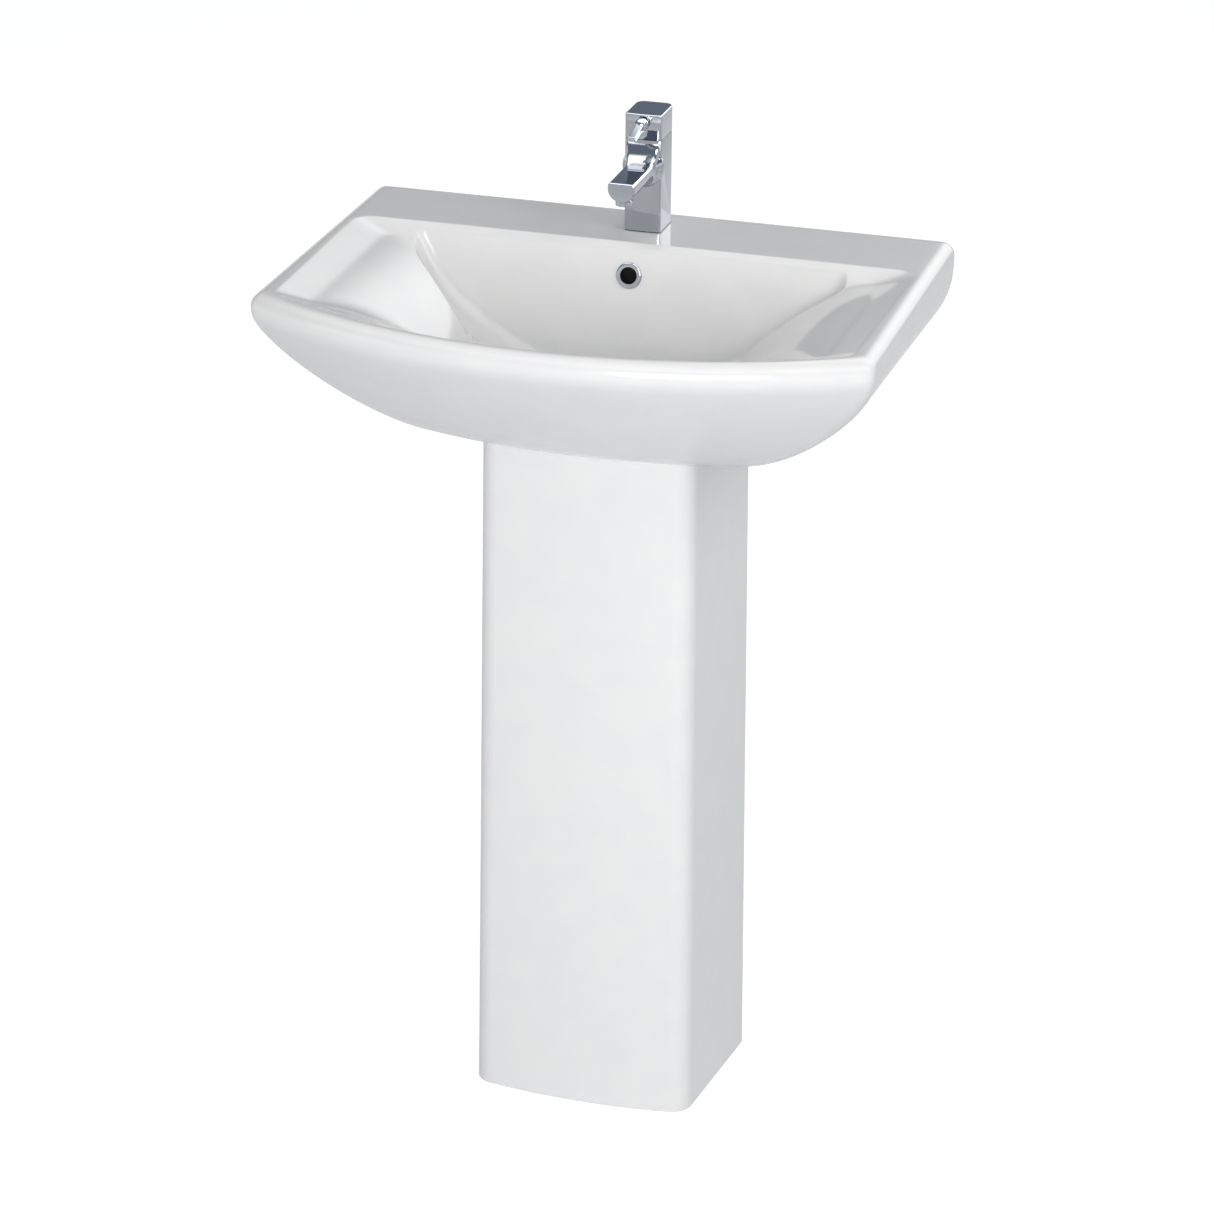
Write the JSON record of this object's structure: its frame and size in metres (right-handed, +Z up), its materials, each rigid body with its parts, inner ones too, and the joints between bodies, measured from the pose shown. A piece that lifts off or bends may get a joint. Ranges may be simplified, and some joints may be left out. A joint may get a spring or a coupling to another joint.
{
  "type": "pedestal sink",
  "caption": "Wide pedestal sink: bow-fronted china basin with a sunk bowl on a tapered pedestal, single-lever mixer tap, push-button waste and bottle trap.",
  "frame": {"origin": "middle of the footprint, on the floor", "axes": "+Z up, +Y towards the wall, +X to the right seen from the front"},
  "size_m": [0.6, 0.44, 0.989],
  "materials": {
    "vitreous_china": "fired white glaze, high gloss",
    "chrome": "bright electroplate",
    "stainless_steel": "turned",
    "brass": "machined",
    "copper": "drawn tube, bright",
    "black_rubber": "moulded",
    "white_foam": "closed-cell foam",
    "cartridge_plastic": "moulded acetal",
    "aerator_plastic": "moulded mesh",
    "white_plastic": "moulded polypropylene"
  },
  "bodies": {
    "sink": {"basin": "vitreous_china", "pedestal": "vitreous_china", "overflow_ring": "chrome", "tap_body": "chrome", "cartridge": "cartridge_plastic", "cartridge_nut": "brass", "cartridge_seals": "black_rubber", "aerator_housing": "chrome", "aerator_insert": "aerator_plastic", "aerator_washer": "black_rubber", "base_gasket": "black_rubber", "fixing_stud": "stainless_steel", "fixing_rubber": "black_rubber", "fixing_plate": "stainless_steel", "fixing_nut": "brass", "hot_tail": "copper", "cold_tail": "copper", "tail_seals": "black_rubber", "waste_body": "chrome", "waste_top_washer": "white_foam", "waste_bottom_washer": "black_rubber", "waste_slip_ring": "white_plastic", "waste_backnut": "brass", "plug_clicker": "cartridge_plastic", "trap_inlet_nut": "white_plastic", "trap_inlet_washer": "black_rubber", "trap_body": "white_plastic", "trap_bottle": "white_plastic", "trap_bottle_seal": "black_rubber", "trap_outlet_nut": "white_plastic", "trap_outlet_washer": "black_rubber", "waste_pipe": "white_plastic"},
    "tap_handle": {"tap_head": "chrome", "cartridge_collar": "brass", "head_grub_screw": "stainless_steel", "lever_pin": "stainless_steel"},
    "lever": {"tap_lever": "chrome"},
    "plug": {"waste_plug": "chrome", "plug_seal": "black_rubber"}
  },
  "joints": [
    {"name": "head_turn", "type": "hinge", "parent": "sink", "child": "tap_handle", "pos_m": [0, 0.169, 0.9635], "axis": [0, 0, 1], "range_deg": [-45, 45]},
    {"name": "lever_lift", "type": "hinge", "parent": "tap_handle", "child": "lever", "pos_m": [0, 0.169, 0.9775], "axis": [-1, 0, 0], "range_deg": [0, 14]},
    {"name": "plug_travel", "type": "slide", "parent": "sink", "child": "plug", "axis": [0, 0, 1], "range_m": [0, 0.008]}
  ]
}
